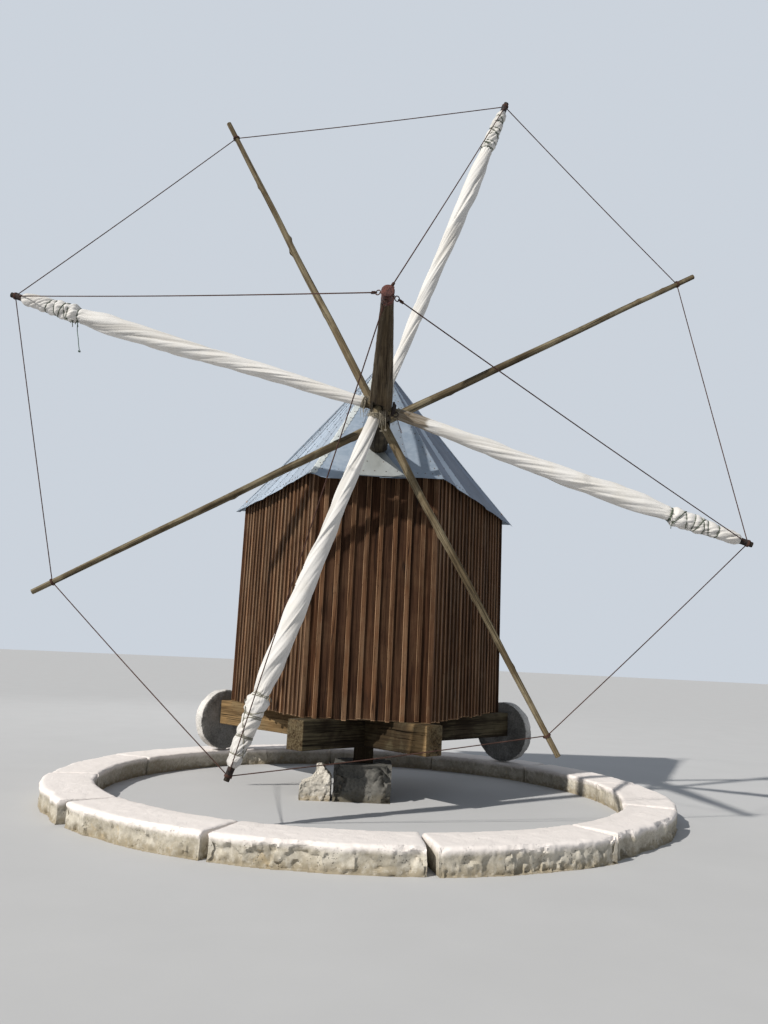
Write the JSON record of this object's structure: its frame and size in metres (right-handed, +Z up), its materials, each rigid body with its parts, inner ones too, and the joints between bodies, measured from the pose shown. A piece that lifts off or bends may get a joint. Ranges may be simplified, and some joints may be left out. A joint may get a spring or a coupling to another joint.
{
  "type": "turning windmill on a stone track",
  "caption": "Wooden windmill whose boarded house with a sheet-metal roof turns on a pivot stone and stone wheels round a stone ring; furled canvas sails.",
  "frame": {"origin": "ground level under the pivot, in the middle of the stone ring", "axes": "+Z up along the pivot, -Y the way the mast and sails look, +X to the right seen from the front"},
  "size_m": [7.0061, 6.6464, 7.0249],
  "materials": {
    "ring_limestone": "worn",
    "pivot_limestone": "rough",
    "wheel_stone": "rough",
    "raw_timber": "sawn",
    "frame_timber": "sawn",
    "stained_boards": "stained",
    "weathered_mast": "weathered",
    "weathered_pole": "weathered",
    "roof_sheet": "galvanised",
    "rusty_iron": "rusty",
    "sailcloth": "matt",
    "dark_rope": "matt",
    "lashing_cord": "matt"
  },
  "bodies": {
    "base": {"ring_stone_01": "ring_limestone", "ring_stone_02": "ring_limestone", "ring_stone_03": "ring_limestone", "ring_stone_04": "ring_limestone", "ring_stone_05": "ring_limestone", "ring_stone_06": "ring_limestone", "ring_stone_07": "ring_limestone", "ring_stone_08": "ring_limestone", "ring_stone_09": "ring_limestone", "ring_stone_10": "ring_limestone", "ring_stone_11": "ring_limestone", "ring_stone_12": "ring_limestone", "pivot_stone": "pivot_limestone", "pivot_block": "raw_timber", "pivot_pin": "rusty_iron", "broken_stone": "pivot_limestone"},
    "mill_house": {"diagonal_beam_left": "raw_timber", "diagonal_beam_right": "raw_timber", "wheel_axles": "rusty_iron", "end_sills": "frame_timber", "side_sills": "frame_timber", "floor_boards": "frame_timber", "corner_posts": "frame_timber", "end_plates": "frame_timber", "side_plates": "frame_timber", "front_wall": "stained_boards", "right_wall": "stained_boards", "rear_wall": "stained_boards", "left_wall": "stained_boards", "rear_door": "stained_boards", "front_roof": "roof_sheet", "right_roof": "roof_sheet", "rear_roof": "roof_sheet", "left_roof": "roof_sheet", "bearing_beams": "raw_timber", "bearing_blocks": "raw_timber"},
    "wheel_left": {"wheel_left": "wheel_stone"},
    "wheel_right": {"wheel_right": "wheel_stone"},
    "rotor": {"mast": "weathered_mast", "mast_cap": "rusty_iron", "sail_pole_upright": "weathered_pole", "sail_pole_level": "weathered_pole", "bare_pole_steep": "weathered_pole", "bare_pole_flat": "weathered_pole", "furled_sail_a": "sailcloth", "furled_sail_b": "sailcloth", "furled_sail_c": "sailcloth", "furled_sail_d": "sailcloth", "tip_bands": "rusty_iron", "rope_loops": "dark_rope", "rim_ropes": "dark_rope", "fore_stays": "dark_rope", "loose_cord": "lashing_cord", "cord_knot": "lashing_cord"}
  },
  "joints": [
    {"name": "house_turn", "type": "hinge", "parent": "base", "child": "mill_house", "pos_m": [0, 0, 0.525], "axis": [0, 0, 1], "continuous": true},
    {"name": "wheel_left_roll", "type": "hinge", "parent": "mill_house", "child": "wheel_left", "pos_m": [-1.78891, 1.98001, 0.5703], "axis": [-0.6704, 0.742, 0], "continuous": true},
    {"name": "wheel_right_roll", "type": "hinge", "parent": "mill_house", "child": "wheel_right", "pos_m": [1.78891, 1.98001, 0.5703], "axis": [0.6704, 0.742, 0], "continuous": true},
    {"name": "sails_turn", "type": "hinge", "parent": "mill_house", "child": "rotor", "pos_m": [0, -1.329, 3.714], "axis": [0, -0.9971, 0.0767], "continuous": true}
  ],
  "couplings": [
    {"joint": "wheel_left_roll", "follows": "house_turn", "ratio": -7.212},
    {"joint": "wheel_right_roll", "follows": "house_turn", "ratio": -7.212}
  ]
}
